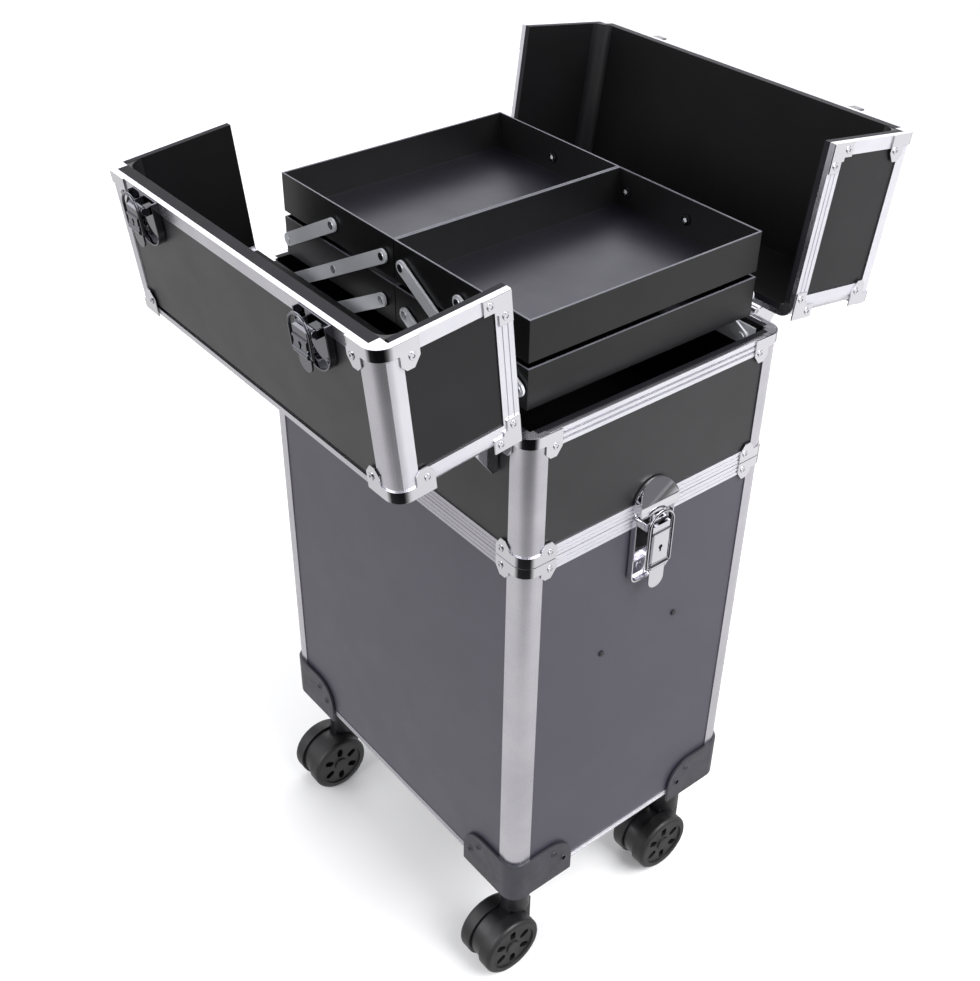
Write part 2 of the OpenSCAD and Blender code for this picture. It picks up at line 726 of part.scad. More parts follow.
carry_y = hinge_out + rear_lid_d * 0.62;
carry_h = carry_r + 2;               // pivots above the lid
carry_z = lid_h + carry_h;
carry_fold = 34;
grip_r = 6;

module carry_handle_mounts()
    color("#dcdae2") rear_pose() for (s = [-1, 1])
        translate([s * carry_l / 2, carry_y, lid_h - panel_inset]) difference() {
            union() {
                translate([-12, -11, 0]) cube([24, 22, 1.6 + panel_inset]);
                for (e = [-1, 1]) translate([e * 7.2 - 1.4, 0, 1]) {
                    translate([0, -5, 0]) cube([2.8, 10, carry_h]);
                    translate([0, 0, carry_h]) rotate([0, 90, 0]) cylinder(r = 5, h = 2.8);
                }
            }
            translate([-15, 0, carry_h + panel_inset]) rotate([0, 90, 0])
                cylinder(r = 2.5 + run_gap, h = 30);
        }

module carry_handle()
    color("#1a1a1c") rear_pose() translate([0, carry_y, carry_z]) rotate([90 - rear_open, 0, 0]) {
        for (s = [-1, 1]) translate([s * carry_l / 2, 0, 0]) {
            translate([-8.6, 0, 0]) rotate([0, 90, 0]) cylinder(r = 2.5, h = 17.2);
            translate([-5.4, 0, 0]) rotate([0, 90, 0]) cylinder(r = carry_r, h = 10.8);
            rotate([90, 0, 0]) cylinder(r = carry_r, h = carry_fold);
            translate([0, -carry_fold, 0]) sphere(r = grip_r);
        }
        translate([-carry_l / 2, -carry_fold, 0]) rotate([0, 90, 0])
            cylinder(r = grip_r, h = carry_l);
        for (x = [-carry_l / 2 + 22 : 12.67 : carry_l / 2 - 20]) translate([x, -carry_fold, 0])
            rotate([0, 90, 0]) cylinder(r = grip_r + 0.8, h = 5);
    }

// ---- pull handle on the left end of the lower case ----

module pull_handle_guides()
    color("#b8b8be") for (s = [-1, 1]) {
        translate([-half_w - tube_off - tube_t, s * tube_y - tube_w / 2, tube_z]) difference() {
            cube([tube_t, tube_w, lower_top - tube_z - 8]);
            translate([tube_wall, tube_wall, 4])
                cube([tube_t - 2 * tube_wall, tube_w - 2 * tube_wall, lower_top]);
        }
        for (z = [tube_z + 8, lower_top - 40]) translate([-half_w - tube_off - 1, 0, z])
            translate([0, s * tube_y - 14, 0]) cube([tube_off + 1 + panel_inset, 28, 20]);
    }

module pull_handle() {
    inner_t = tube_t - 2 * tube_wall - 2 * pull_gap;
    inner_w = tube_w - 2 * tube_wall - 2 * pull_gap;
    x0 = -half_w - tube_off - tube_wall - pull_gap - inner_t;
    color("#b8b8be") for (s = [-1, 1])
        translate([x0, s * tube_y - inner_w / 2, tube_z + 10])
            cube([inner_t, inner_w, grip_z - tube_z - 10 + 4]);
    color("#1a1a1c") difference() {
        translate([-half_w - 20, -tube_y - 13, grip_z]) cube([18.5, 2 * tube_y + 26, 20]);
        translate([-half_w - 11, -tube_y + 12, grip_z - 1]) cube([12, 2 * tube_y - 24, 22]);
    }
}

// ---- cantilever trays: drawn for the left stack ----

// Open tray whose top edge is at z = 0 and whose inner side is at x = -0.25
module tray(open_x, run_x) {
    difference() {
        translate([-tray_w - 0.25, -tray_d / 2, -tray_h]) cube([tray_w, tray_d, tray_h]);
        translate([-tray_w - 0.25 + tray_t, -tray_d / 2 + tray_t, -tray_h + tray_t])
            cube([tray_w - 2 * tray_t, tray_d - 2 * tray_t, tray_h]);
        for (x = run_x) translate([x, 0, -pivot_drop]) rotate([90, 0, 0])
            cylinder(r = pivot_r + run_gap, h = tray_d + 10, center = true);
        for (x = open_x) translate([x, 0, -pivot_drop]) rotate([90, 0, 0])
            cylinder(r = pivot_r + open_gap, h = tray_d + 10, center = true);
    }
}

module middle_tray()
    color("#2a2a2e") translate([0, 0, mid_pivot_z + pivot_drop])
        tray([outer_x + pivot_gap + step_x], [mid_x, outer_x]);

module top_tray()
    color("#2a2a2e") translate([0, 0, top_pivot_z + pivot_drop]) tray([mid_x], [top_x]);

// Rivet of an arm through the tray wall behind it
module arm_rivet() {
    wall_in = tray_d / 2 - tray_t;
    head = 1.2;
    translate([0, wall_in - open_gap - head, 0]) rotate([-90, 0, 0])
        cylinder(r = pivot_r, h = arm_y - wall_in + open_gap + head + eps);
    translate([0, wall_in - open_gap - head, 0]) rotate([-90, 0, 0])
        cylinder(r = 3.4, h = head);
    translate([0, arm_y + arm_t - eps, 0]) rotate([-90, 0, 0]) cylinder(r = 3.2, h = 0.8);
}

// Pair of straight arms from (x, z) with rivets at some of their pivots; n tiers long
module arms(x, z, n, rivets, hole) {
    both_long() translate([x, 0, z]) {
        difference() {
            translate([0, arm_y, 0]) rotate([0, -arm_angle, 0]) rotate([-90, 0, 0]) {
                translate([0, -arm_w / 2, 0]) cube([n * arm_half, arm_w, arm_t]);
                for (i = [0, n]) translate([i * arm_half, 0, 0]) cylinder(r = arm_w / 2, h = arm_t);
            }
            if (hole) translate([0, arm_y - 1, 0]) rotate([-90, 0, 0])
                cylinder(r = pivot_r + run_gap, h = arm_t + 2);
        }
        for (i = rivets) translate([i * step_x, 0, i * step_z]) arm_rivet();
    }
}

module long_arms() color("#9aa0a5") arms(outer_x, low_pivot_z, 2, [1, 2], true);
module lower_arms() color("#9aa0a5") arms(outer_x + pivot_gap, low_pivot_z, 1, [1], true);
module upper_arms() color("#9aa0a5") arms(outer_x, mid_pivot_z, 1, [0, 1], false);

// Plates on the inner walls with the fixed pivot studs of both stacks
module tray_pivot_plates()
    color("#9aa0a5") both_ends() both_long() {
        translate([outer_x - 9, inner_d - plate_t, low_pivot_z - 9])
            cube([pivot_gap + 18, plate_t, 18]);
        for (x = [outer_x, outer_x + pivot_gap]) translate([x, 0, low_pivot_z]) {
            translate([0, arm_y - open_gap - 1.2, 0]) rotate([-90, 0, 0])
                cylinder(r = pivot_r, h = inner_d - arm_y + open_gap + 1.2);
            translate([0, arm_y - open_gap - 1.2, 0]) rotate([-90, 0, 0])
                cylinder(r = 3.6, h = 1.2);
            translate([0, arm_y + arm_t + open_gap, 0]) rotate([-90, 0, 0])
                cylinder(r = 4, h = inner_d - arm_y - arm_t - open_gap);
        }
    }

module left_middle_tray() middle_tray();
module left_top_tray() top_tray();
module right_middle_tray() mirror([1, 0, 0]) middle_tray();
module right_top_tray() mirror([1, 0, 0]) top_tray();
module left_long_arms() long_arms();
module left_lower_arms() lower_arms();
module left_upper_arms() upper_arms();
module right_long_arms() mirror([1, 0, 0]) long_arms();
module right_lower_arms() mirror([1, 0, 0]) lower_arms();
module right_upper_arms() mirror([1, 0, 0]) upper_arms();

// ---- casters: local origin on the stem axis at floor level, axle toward -Y ----

module caster() {
    color("#1d1d20") {
        translate([0, 0, collar_z]) cylinder(r = housing_r - 3, h = housing_z - 0.4 - collar_z);
        translate([0, 0, housing_z - 1]) cylinder(r = stem_r, h = housing_h - 4);
        // mudguard between the wheels, and the neck up to the collar
        translate([-core_t / 2, 0, 0]) rotate([90, 0, 90]) linear_extrude(core_t) {
            translate([-trail, wheel_r]) circle(r = guard_r);
            translate([-housing_r + 3, wheel_r]) square([2 * housing_r - 6, collar_z - wheel_r + 2]);
        }
        translate([-wheels_w / 2 + 2.5, -trail, wheel_r]) rotate([0, 90, 0])
            cylinder(r = axle_r, h = wheels_w - 5);
    }
}

// One wheel, its inner face at x = 0 and its outer face at x = wheel_t
module wheel() {
    edge = 4;
    rim_r = wheel_r * 0.76;
    difference() {
        rotate([0, 90, 0]) rotate_extrude() {
            square([wheel_r, wheel_t - edge]);
            square([wheel_r - edge, wheel_t]);
            translate([wheel_r - edge, wheel_t - edge]) circle(edge);
        }
        translate([-1, 0, 0]) rotate([0, 90, 0]) cylinder(r = axle_r + run_gap, h = wheel_t - 1.2);
        translate([wheel_t - 1.6, 0, 0]) rotate([0, 90, 0]) difference() {
            cylinder(r = rim_r, h = 3);
            translate([0, 0, -1]) cylinder(r = 7, h = 5);
        }
        for (a = [0 : 60 : 359]) rotate([a, 0, 0]) translate([wheel_t - 7, 0, 0])
            rotate([0, 90, 0]) translate([-15.5, 0, 0]) slot(3, 5, 7);
    }
}

// Round-ended slot of end radius r and half length l along X, height h
module slot(r, l, h) {
    translate([-l + r, -r, 0]) cube([2 * (l - r), 2 * r, h]);
    for (s = [-1, 1]) translate([s * (l - r), 0, 0]) cylinder(r = r, h = h);
}

module wheel_pair()
    color("#1a1a1c") for (s = [0, 1]) mirror([s, 0, 0])
        translate([wheels_w / 2 - wheel_t, -trail, wheel_r]) wheel();

module caster_at(sx, sy) translate([sx * stem_x, sy * stem_y, 0]) children();

module front_left_caster() caster_at(-1, -1) caster();
module front_right_caster() caster_at(1, -1) caster();
module rear_left_caster() caster_at(-1, 1) caster();
module rear_right_caster() caster_at(1, 1) caster();
module front_left_wheels() caster_at(-1, -1) wheel_pair();
module front_right_wheels() caster_at(1, -1) wheel_pair();
module rear_left_wheels() caster_at(-1, 1) wheel_pair();
module rear_right_wheels() caster_at(1, 1) wheel_pair();

lower_long_panels();
lower_end_panels();
base_panel();
lower_corner_posts();
base_frame();
lower_split_frame();
lower_corner_brackets();
caster_mounts();
side_latch_bases();
pull_handle_guides();
upper_long_panels();
upper_end_panels();
upper_floor();
upper_corner_posts();
upper_split_frame();
rim_frame();
upper_corner_brackets();
side_latch_catches();
lid_hinge_brackets();
lid_hinge_pins();
tray_pivot_plates();
front_lid_panels();
front_lid_frame();
front_lid_brackets();
front_lid_leaves();
lid_latch_bases();
rear_lid_panels();
rear_lid_frame();
rear_lid_brackets();
rear_lid_leaves();
lid_latch_catches();
carry_handle_mounts();
left_side_latch_lever();
right_side_latch_lever();
left_side_latch_bail();
right_side_latch_bail();
left_lid_latch_lever();
right_lid_latch_lever();
left_lid_latch_bail();
right_lid_latch_bail();
carry_handle();
pull_handle();
left_middle_tray();
left_top_tray();
right_middle_tray();
right_top_tray();
left_long_arms();
left_lower_arms();
left_upper_arms();
right_long_arms();
right_lower_arms();
right_upper_arms();
front_left_caster();
front_right_caster();
rear_left_caster();
rear_right_caster();
front_left_wheels();
front_right_wheels();
rear_left_wheels();
rear_right_wheels();
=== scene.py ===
# Rolling makeup train case: finishes, rounded edges, lining and studio around its solids.
import bpy
import json
import math
from mathutils import Matrix, Vector
from mathutils.bvhtree import BVHTree

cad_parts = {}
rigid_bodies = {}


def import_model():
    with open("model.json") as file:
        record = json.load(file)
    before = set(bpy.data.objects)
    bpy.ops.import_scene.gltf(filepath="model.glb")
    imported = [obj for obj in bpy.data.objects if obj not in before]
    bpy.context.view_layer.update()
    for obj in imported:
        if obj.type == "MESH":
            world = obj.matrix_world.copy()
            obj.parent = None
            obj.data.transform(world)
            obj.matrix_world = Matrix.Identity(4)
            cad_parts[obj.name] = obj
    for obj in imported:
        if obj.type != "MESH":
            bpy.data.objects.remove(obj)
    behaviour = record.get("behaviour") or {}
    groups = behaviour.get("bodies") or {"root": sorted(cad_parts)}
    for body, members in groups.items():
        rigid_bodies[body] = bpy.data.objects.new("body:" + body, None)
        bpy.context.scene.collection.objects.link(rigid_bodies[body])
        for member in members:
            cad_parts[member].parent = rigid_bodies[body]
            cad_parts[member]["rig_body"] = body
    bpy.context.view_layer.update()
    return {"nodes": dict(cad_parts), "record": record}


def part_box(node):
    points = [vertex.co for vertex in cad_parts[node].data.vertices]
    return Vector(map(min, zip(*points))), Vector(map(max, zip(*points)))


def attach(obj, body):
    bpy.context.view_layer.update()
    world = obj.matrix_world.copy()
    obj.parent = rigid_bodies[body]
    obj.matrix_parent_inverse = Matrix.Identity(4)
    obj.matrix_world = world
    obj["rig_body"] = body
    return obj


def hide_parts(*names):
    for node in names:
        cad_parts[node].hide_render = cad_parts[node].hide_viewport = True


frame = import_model()
nodes = frame["nodes"]
record = frame["record"]
nodeSlot = {part["node"]: part["material_slot"] for part in record["subparts"]}
mm = 0.001
square = 0.9  # a face looks along an axis when its normal has this much of it


def hexColour(text):
    # sRGB hex to linear RGBA
    channels = [int(text[i:i + 2], 16) / 255 for i in (1, 3, 5)]
    linear = [c / 12.92 if c <= 0.04045 else ((c + 0.055) / 1.055) ** 2.4 for c in channels]
    return (*linear, 1.0)


def addNode(tree, kind, settings=None, links=None):
    # settings: socket name or index to value, or an attribute of the node; links: socket to output
    node = tree.nodes.new(kind)
    for key, value in (settings or {}).items():
        if isinstance(key, int) or key in node.inputs:
            node.inputs[key].default_value = value
        else:
            setattr(node, key, value)
    for key, output in (links or {}).items():
        tree.links.new(output, node.inputs[key])
    return node


def startMaterial(name):
    material = bpy.data.materials.new(name)
    material.use_nodes = True
    tree = material.node_tree
    tree.nodes.clear()
    return material, tree


def finishMaterial(material, tree, shader):
    addNode(tree, "ShaderNodeOutputMaterial", links={"Surface": shader.outputs[0]})
    return material


def perMetre(size):
    # texture scale for a pattern whose cells are size millimetres wide
    return 1000.0 / size


def newObject(name, data):
    thing = bpy.data.objects.new(name, data)
    bpy.context.scene.collection.objects.link(thing)
    return thing


cameraSet = {
    "place": (0.7180, -0.6050, 1.0821),
    "azimuth": 50.715,  # degrees
    "elevation": 35.981,
    "roll": 0.9,
    "focalPixels": 1339.7,
    "imageWidth": 980,
    "sensor": 36.0,  # mm
    "clipEnd": 50,
}


def makeCamera(spec):
    az, el, roll = (math.radians(spec[k]) for k in ("azimuth", "elevation", "roll"))
    forward = Vector((-math.sin(az) * math.cos(el), math.cos(az) * math.cos(el), -math.sin(el)))
    side = forward.cross(Vector((0, 0, 1))).normalized()
    up = side.cross(forward)
    right = side * math.cos(roll) + up * math.sin(roll)
    top = up * math.cos(roll) - side * math.sin(roll)
    data = bpy.data.cameras.new("camera")
    data.sensor_fit = "HORIZONTAL"
    data.sensor_width = spec["sensor"]
    data.lens = spec["focalPixels"] * spec["sensor"] / spec["imageWidth"]
    data.clip_end = spec["clipEnd"]
    camera = newObject("camera", data)
    turn = Matrix((right, top, -forward)).transposed().to_4x4()
    camera.matrix_world = Matrix.Translation(spec["place"]) @ turn
    bpy.context.scene.camera = camera


makeCamera(cameraSet)
print("camera set")

studio = {
    "sky": "#f6f6fa",
    "skyLow": -0.15,  # the light falls off from this height of the sky to the next
    "skyHigh": 0.75,
    "skyLight": 1.5,
    "skyDark": 0.75,
    "paper": 0.86,
    "paperGlow": 0.06,
    "paperShine": 0.7,  # painted reflection: the glow polished parts see in the paper, near and far
    "reflectedPaperFar": 0.14,
    "reflectionFadeNear": 0.6,  # metres toward the lens, where the painted reflection of the paper fades to dark
    "reflectionFadeFar": 1.05,
    "reflectionBrightSide": 0.25,  # and what the painted reflection gains on the bright side
    "brightNear": 0.2,
    "brightFar": 0.9,
    "towardLens": (0.774, -0.633, 0),
    "towardBright": (0.45, 0.89, 0),
    "floorSize": 16.0,
    "aim": (0, 0, 0.45),
    "key": {"place": (1.7, 0.6, 2.3), "size": 1.8, "power": 80},
    "fill": {"place": (-0.4, -2.4, 1.9), "size": 2.2, "power": 40},
    "back": {"place": (-1.55, 1.3, 2.15), "size": 2.6, "power": 26},
}


def makeSky():
    world = bpy.data.worlds.new("studio")
    bpy.context.scene.world = world
    world.use_nodes = True
    tree = world.node_tree
    tree.nodes.clear()
    path = addNode(tree, "ShaderNodeLightPath")
    coords = addNode(tree, "ShaderNodeTexCoord")
    split = addNode(tree, "ShaderNodeSeparateXYZ", links={0: coords.outputs["Generated"]})
    level = addNode(tree, "ShaderNodeMapRange", {
        "From Min": studio["skyLow"], "From Max": studio["skyHigh"],
        "To Min": studio["skyLight"], "To Max": studio["skyDark"]}, {"Value": split.outputs["Z"]})
    light = addNode(tree, "ShaderNodeBackground", {"Color": hexColour(studio["sky"])},
                    {"Strength": level.outputs[0]})
    white = addNode(tree, "ShaderNodeBackground", {"Color": (1, 1, 1, 1), "Strength": 1.0})
    mix = addNode(tree, "ShaderNodeMixShader", links={
        0: path.outputs["Is Camera Ray"], 1: light.outputs[0], 2: white.outputs[0]})
    addNode(tree, "ShaderNodeOutputWorld", links={"Surface": mix.outputs[0]})


def studioPaper():
    # matt white paper with a faint glow; polished parts see a painted reflection in it, fading to
    # dark toward the lens and brighter on one side
    material, tree = startMaterial("studioPaper")
    path = addNode(tree, "ShaderNodeLightPath")
    paper = addNode(tree, "ShaderNodeBsdfDiffuse", {"Color": (*[studio["paper"]] * 3, 1)})
    glow = addNode(tree, "ShaderNodeEmission", {"Strength": studio["paperGlow"]})
    lit = addNode(tree, "ShaderNodeAddShader", links={0: paper.outputs[0], 1: glow.outputs[0]})
    coords = addNode(tree, "ShaderNodeTexCoord")
    toLens, toBright = (
        addNode(tree, "ShaderNodeVectorMath", {"operation": "DOT_PRODUCT", 1: studio[way]},
                {0: coords.outputs["Object"]}) for way in ("towardLens", "towardBright"))
    shine = addNode(tree, "ShaderNodeMapRange", {
        "From Min": studio["reflectionFadeNear"], "From Max": studio["reflectionFadeFar"],
        "To Min": studio["paperShine"], "To Max": studio["reflectedPaperFar"]},
        {"Value": toLens.outputs["Value"]})
    extra = addNode(tree, "ShaderNodeMapRange", {
        "From Min": studio["brightNear"], "From Max": studio["brightFar"],
        "To Max": studio["reflectionBrightSide"]}, {"Value": toBright.outputs["Value"]})
    level = addNode(tree, "ShaderNodeMath", {"operation": "ADD"}, {
        0: shine.outputs[0], 1: extra.outputs[0]})
    # painted reflection: an emission that only glossy rays see
    mirrored = addNode(tree, "ShaderNodeEmission", links={"Strength": level.outputs[0]})
    seen = addNode(tree, "ShaderNodeMixShader", links={
        0: path.outputs["Is Camera Ray"], 1: paper.outputs[0], 2: lit.outputs[0]})
    mix = addNode(tree, "ShaderNodeMixShader", links={
        0: path.outputs["Is Glossy Ray"], 1: seen.outputs[0], 2: mirrored.outputs[0]})
    return finishMaterial(material, tree, mix)


def makeFloor():
    bpy.ops.mesh.primitive_plane_add(size=studio["floorSize"])
    floor = bpy.context.object
    floor.name = floor.data.name = "floor"
    floor.data.materials.append(studioPaper())


def makeLamp(name, spec):
    data = bpy.data.lights.new(name, "AREA")
    data.shape = "SQUARE"
    data.size = spec["size"]
    data.energy = spec["power"]
    lamp = newObject(name, data)
    lamp.location = spec["place"]
    aim = Vector(studio["aim"]) - Vector(spec["place"])
    lamp.rotation_euler = aim.to_track_quat("-Z", "Y").to_euler()


makeSky()
makeFloor()
for lampName in ("key", "fill", "back"):
    makeLamp(lampName, studio[lampName])
bpy.context.scene.view_settings.view_transform = "Standard"
print("studio set")


def grimeMask(tree, coords, size, low, high):
    # soft blotches, size millimetres wide, for uneven wear
    noise = addNode(tree, "ShaderNodeTexNoise", {
        "Scale": perMetre(size), "Detail": 4.0, "Roughness": 0.55}, {"Vector": coords})
    return addNode(tree, "ShaderNodeMapRange", {
        "From Min": 0.35, "From Max": 0.65, "To Min": low, "To Max": high},
        {"Value": noise.outputs["Fac"]}).outputs[0]


film = {
    "peel": 2.3,  # width of the orange peel's cells, in grains
    "bump": 0.22,
    "relief": 0.12 * mm,
    "ior": 1.5,
    "blotch": 60,  # mm
    "scuff": 35,  # mm
    "worn": (-0.02, 0.03),  # least and most that handling adds to the roughness
}


def laminate(name, dark, light, grain, roughness, gloss=0.5, tint="#ffffff"):
    # embossed ABS film over board: near-black, satin, with a fine orange-peel grain
    material, tree = startMaterial(name)
    coords = addNode(tree, "ShaderNodeTexCoord").outputs["Object"]
    cells = addNode(tree, "ShaderNodeTexVoronoi", {"Scale": perMetre(grain)}, {"Vector": coords})
    peel = addNode(tree, "ShaderNodeTexNoise", {
        "Scale": perMetre(grain * film["peel"]), "Detail": 3.0}, {"Vector": coords})
    height = addNode(tree, "ShaderNodeMath", {"operation": "ADD"}, {
        0: cells.outputs["Distance"], 1: peel.outputs["Fac"]})
    bump = addNode(tree, "ShaderNodeBump", {
        "Strength": film["bump"], "Distance": film["relief"]}, {"Height": height.outputs[0]})
    colour = addNode(tree, "ShaderNodeMix", {
        "data_type": "RGBA", 6: hexColour(dark), 7: hexColour(light)}, {
        0: grimeMask(tree, coords, film["blotch"], 0.0, 1.0)})
    shader = addNode(tree, "ShaderNodeBsdfPrincipled", {
        "IOR": film["ior"], "Specular IOR Level": gloss, "Specular Tint": hexColour(tint)}, {
        "Base Color": colour.outputs[2],
        "Roughness": grimeMask(tree, coords, film["scuff"],
                               *[roughness + change for change in film["worn"]]),
        "Normal": bump.outputs[0]})
    return finishMaterial(material, tree, shader)


brushing = {
    "pitch": 2.4,  # mm between draw lines
    "swing": 0.012,  # of the roughness, from line to line
    "blotch": 45,  # mm
    "marks": 18,  # mm
    "worn": (-0.01, 0.02),
}


def satinAluminium(name, bright, worn, roughness, brush, metal=1.0):
    # anodised extrusion: fine lengthwise draw lines in the sheen, coarser than real ones so
    # that they show, and faint handling marks
    material, tree = startMaterial(name)
    coords = addNode(tree, "ShaderNodeTexCoord").outputs["Object"]
    stretch = addNode(tree, "ShaderNodeMapping", {"Scale": brush}, {"Vector": coords})
    lines = addNode(tree, "ShaderNodeTexNoise", {
        "Scale": perMetre(brushing["pitch"]), "Detail": 2.0}, {"Vector": stretch.outputs[0]})
    drawn = addNode(tree, "ShaderNodeMapRange", {
        "From Min": 0.3, "From Max": 0.7, "To Min": roughness - brushing["swing"],
        "To Max": roughness + brushing["swing"]}, {"Value": lines.outputs["Fac"]})
    sheen = addNode(tree, "ShaderNodeMath", {"operation": "ADD"}, {
        0: drawn.outputs[0], 1: grimeMask(tree, coords, brushing["marks"], *brushing["worn"])})
    colour = addNode(tree, "ShaderNodeMix", {
        "data_type": "RGBA", 6: hexColour(bright), 7: hexColour(worn)}, {
        0: grimeMask(tree, coords, brushing["blotch"], 0.0, 1.0)})
    shader = addNode(tree, "ShaderNodeBsdfPrincipled", {"Metallic": metal}, {
        "Base Color": colour.outputs[2], "Roughness": sheen.outputs[0]})
    return finishMaterial(material, tree, shader)


plating = {
    "ripple": 5,  # mm
    "bump": 0.1,
    "relief": 0.15 * mm,
    "darkReflection": (0.2, 0.4),  # slant of the plate where its painted dark reflection begins, and where it is full
    "marks": 6,  # mm
    "worn": (0, 0.05),
}


def chromePlate(name, bright, roughness, dark=None):
    # bright plating over pressed sheet: mirror-like with faint ripples and handling marks,
    # and a painted dark reflection where it wraps round a corner post
    material, tree = startMaterial(name)
    places = addNode(tree, "ShaderNodeTexCoord")
    coords = places.outputs["Object"]
    ripple = addNode(tree, "ShaderNodeTexNoise", {
        "Scale": perMetre(plating["ripple"]), "Detail": 2.0}, {"Vector": coords})
    bump = addNode(tree, "ShaderNodeBump", {
        "Strength": plating["bump"], "Distance": plating["relief"]},
        {"Height": ripple.outputs["Fac"]})
    facing = addNode(tree, "ShaderNodeSeparateXYZ", links={0: places.outputs["Normal"]})
    x, y, z = (addNode(tree, "ShaderNodeMath", {"operation": "ABSOLUTE"}, {0: facing.outputs[i]})
               for i in range(3))
    other = addNode(tree, "ShaderNodeMath", {"operation": "MAXIMUM"}, {
        0: y.outputs[0], 1: z.outputs[0]})
    slant = addNode(tree, "ShaderNodeMath", {"operation": "MULTIPLY"}, {
        0: x.outputs[0], 1: other.outputs[0]})
    # painted reflection: the colour turns dark where the normal slants between X and Y or Z
    darkReflection = addNode(tree, "ShaderNodeMapRange", {
        "From Min": plating["darkReflection"][0], "From Max": plating["darkReflection"][1]},
        {"Value": slant.outputs[0]})
    colour = addNode(tree, "ShaderNodeMix", {
        "data_type": "RGBA", 6: hexColour(bright), 7: hexColour(dark or bright)}, {
        0: darkReflection.outputs[0]})
    shader = addNode(tree, "ShaderNodeBsdfPrincipled", {"Metallic": 1.0}, {
        "Base Color": colour.outputs[2],
        "Roughness": grimeMask(tree, coords, plating["marks"],
                               *[roughness + change for change in plating["worn"]]),
        "Normal": bump.outputs[0]})
    return finishMaterial(material, tree, shader)


moulding = {
    "bump": 0.2,
    "relief": 0.1 * mm,
    "ior": 1.5,
    "rub": 22,  # mm
    "scuff": 9,  # mm
    "worn": (-0.05, 0.07),
}


def mouldedPlastic(name, dark, light, roughness, grain):
    # moulded ABS or nylon: spark-eroded texture, slightly rubbed
    material, tree = startMaterial(name)
    coords = addNode(tree, "ShaderNodeTexCoord").outputs["Object"]
    spark = addNode(tree, "ShaderNodeTexNoise", {
        "Scale": perMetre(grain), "Detail": 5.0, "Roughness": 0.7}, {"Vector": coords})
    bump = addNode(tree, "ShaderNodeBump", {
        "Strength": moulding["bump"], "Distance": moulding["relief"]},
        {"Height": spark.outputs["Fac"]})
    colour = addNode(tree, "ShaderNodeMix", {
        "data_type": "RGBA", 6: hexColour(dark), 7: hexColour(light)}, {
        0: grimeMask(tree, coords, moulding["rub"], 0.0, 1.0)})
    shader = addNode(tree, "ShaderNodeBsdfPrincipled", {"IOR": moulding["ior"]}, {
        "Base Color": colour.outputs[2],
        "Roughness": grimeMask(tree, coords, moulding["scuff"],
                               *[roughness + change for change in moulding["worn"]]),
        "Normal": bump.outputs[0]})
    return finishMaterial(material, tree, shader)


finishTable = {
    # dark, light, grain in mm, roughness, gloss, tint
    # the lower case's film is the same black laminate, lightened and blued as a painted sheen
    "lowerLaminate": (laminate, "#3a3842", "#3c3a44", 0.9, 0.36),
    "upperLaminate": (laminate, "#1a1a1c", "#1f1f21", 0.9, 0.38),
    # the lids' end walls: the same laminate darkened as painted shade
    "lidEndLaminate": (laminate, "#141416", "#18181a", 0.9, 0.38, 0.3),
    "liningBoard": (laminate, "#060607", "#09090b", 1.4, 0.6, 0.14),
    "liningCove": (laminate, "#08080a", "#0b0b0e", 1.4, 0.42, 0.5),
    "boardEdge": (laminate, "#111116", "#17171d", 0.8, 0.6, 0.2),
    "trayPlastic": (laminate, "#0d0d0e", "#111112", 1.3, 0.33, 0.36),
    # the tray floors: the same plastic, purpler with a bluish specular tint, a painted sheen
    "trayFloor": (laminate, "#0d0c11", "#111015", 1.3, 0.33, 0.5, "#e4e0ff"),
    # bright, worn, roughness, stretch of the draw lines (even where strips run both ways), metallic
    "postAluminium": (satinAluminium, "#dbd9df", "#d0ced5", 0.27, (1, 1, 0.04)),
    "stripAluminium": (satinAluminium, "#c6c4cb", "#bdbbc2", 0.28, (1, 1, 1)),
    # the strips' end faces: the same aluminium, lighter and less metallic as painted light
    "endStrip": (satinAluminium, "#dcdbe1", "#d4d3da", 0.3, (1, 1, 1), 0.7),
    "strapSteel": (satinAluminium, "#d3d5da", "#c9ccd1", 0.36, (1, 1, 1), 0.2),
    # bright, roughness, colour of the painted dark reflection where it wraps a post
    "bracketChrome": (chromePlate, "#e6e5ea", 0.07, "#2e2e32"),
    # the lid latches' chrome is dulled to dark grey, a painted dark reflection
    "latchChrome": (chromePlate, "#77777d", 0.05, "#4a4a50"),
    "pinSteel": (chromePlate, "#b9bac0", 0.22),
    # dark, light, roughness, grain in mm
    # the trays' rims: the same black plastic painted grey as a highlight
    "trayRim": (mouldedPlastic, "#56565e", "#606068", 0.5, 0.8),
    # near-black painted shade for the keyhole and the rings round the rivet heads
    "keyDark": (mouldedPlastic, "#050506", "#08080a", 0.6, 0.6),
    "mountPlastic": (mouldedPlastic, "#28282e", "#303038", 0.4, 0.9),
    "casterPlastic": (mouldedPlastic, "#0f0f11", "#161619", 0.34, 0.7),
    "wheelRubber": (mouldedPlastic, "#0e0e0f", "#151517", 0.44, 0.8),
    "gripPlastic": (mouldedPlastic, "#0f0f11", "#161619", 0.42, 0.9),
}
finishes = {name: make(name, *values) for name, (make, *values) in finishTable.items()}
slotFinish = {
    "lower_board": "lowerLaminate", "upper_board": "upperLaminate", "inner_board": "liningBoard",
    "aluminium": "postAluminium", "chrome": "bracketChrome", "steel_pin": "pinSteel",
    "arm_steel": "strapSteel", "tray_plastic": "trayPlastic", "mount_plastic": "mountPlastic",
    "caster_plastic": "casterPlastic", "wheel_rubber": "wheelRubber", "grip_plastic": "gripPlastic",
}


def nodeFinish(name):
    if name.endswith("_frame") and "lid" not in name:
        return finishes["stripAluminium"]
    if "lid_latch" in name:
        return finishes["latchChrome"]
    return finishes[slotFinish[nodeSlot[name]]]


